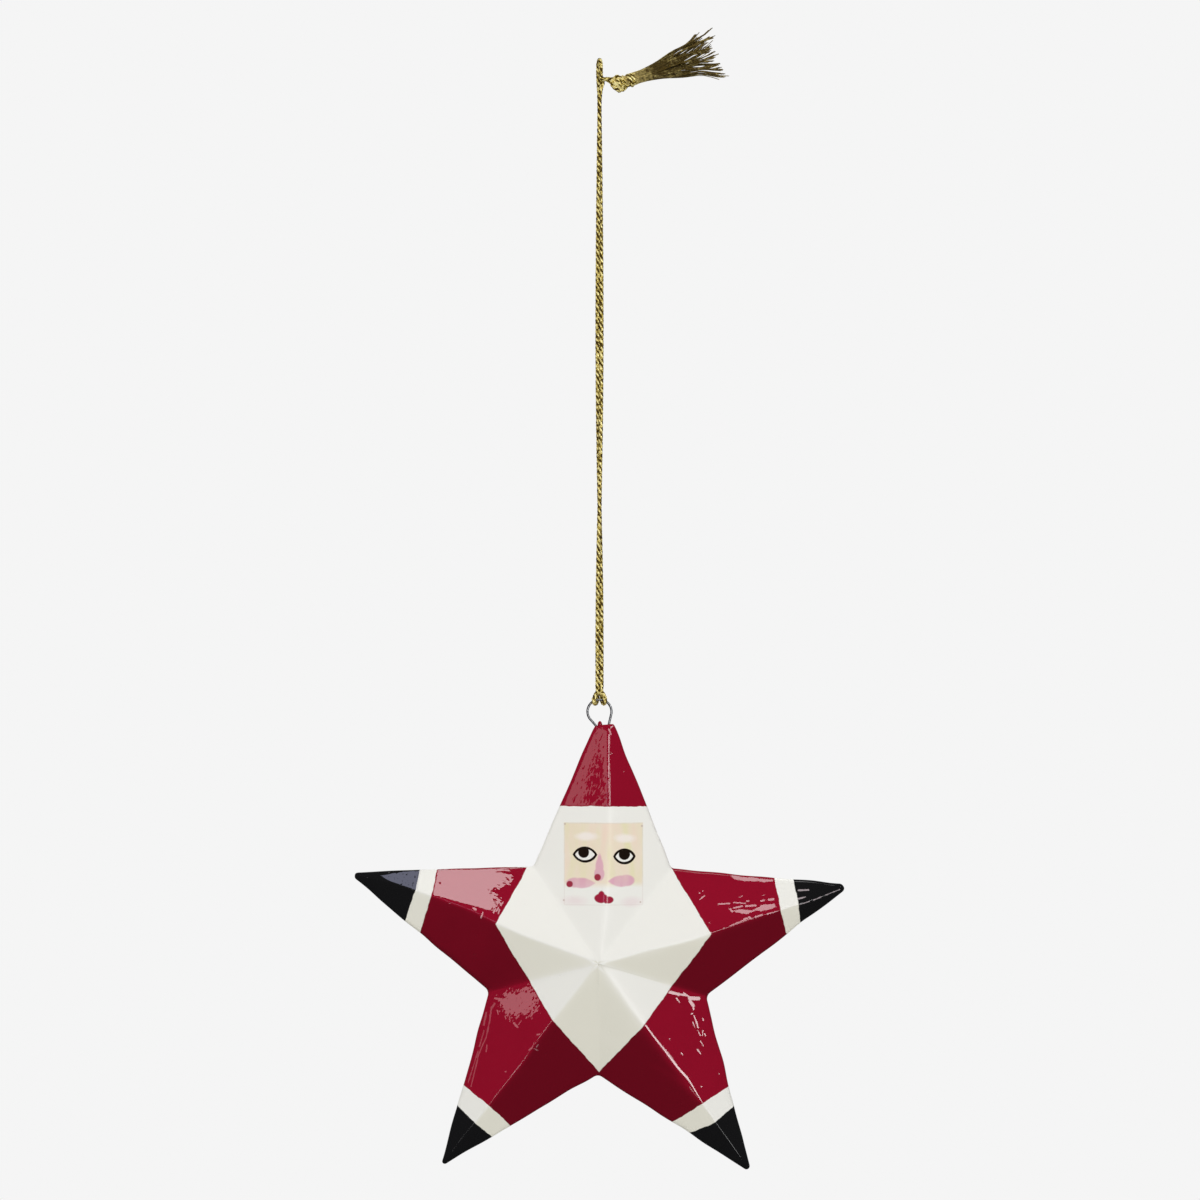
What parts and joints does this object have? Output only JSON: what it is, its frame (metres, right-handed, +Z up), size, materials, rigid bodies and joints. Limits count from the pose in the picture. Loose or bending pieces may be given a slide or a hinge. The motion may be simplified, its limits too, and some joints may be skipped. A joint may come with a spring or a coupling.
{
  "type": "hanging star ornament",
  "caption": "Painted wooden star figure in a red suit with hat, beard, mittens and boots, hung from a wire eye by a doubled gold cord with a knotted tassel.",
  "frame": {"origin": "inside top of the hanging loop, where a hook or twig carries the ornament", "axes": "+X to the viewer's right, +Z up along the hanging cord, and the painted front faces -Y"},
  "size_m": [0.1227, 0.026, 0.2856],
  "materials": {
    "painted_wood": "hand paint under gloss lacquer",
    "eye_wire": "drawn steel wire",
    "gold_cord": "twisted metallic thread",
    "tassel_thread": "loose metallic thread"
  },
  "bodies": {
    "hanger": {"cord_loop": "gold_cord", "cord_return": "gold_cord"},
    "cord_foot": {"cord_foot_left": "gold_cord", "cord_foot_right": "gold_cord"},
    "hitch": {"cord_hitch": "gold_cord"},
    "star": {"star_body": "painted_wood", "hanger_eye": "eye_wire"},
    "tassel": {"tassel_knot": "gold_cord", "tassel_skirt": "tassel_thread"}
  },
  "joints": [
    {"name": "star_spin", "type": "hinge", "parent": "hanger", "child": "cord_foot", "pos_m": [0, 0, -0.15], "axis": [0, 0, 1], "range_deg": [-180, 180]},
    {"name": "star_tilt", "type": "hinge", "parent": "cord_foot", "child": "hitch", "pos_m": [0, 0, -0.1559], "axis": [1, 0, 0], "range_deg": [-75, 75]},
    {"name": "star_rock", "type": "hinge", "parent": "hitch", "child": "star", "pos_m": [0, 0, -0.1624], "axis": [0, 1, 0], "range_deg": [-60, 60]},
    {"name": "tassel_swing", "type": "hinge", "parent": "hanger", "child": "tassel", "pos_m": [0.0017, 0, -0.0043], "axis": [0, 1, 0], "range_deg": [-55, 45], "stiffness_Nm_per_rad": 0.001}
  ]
}
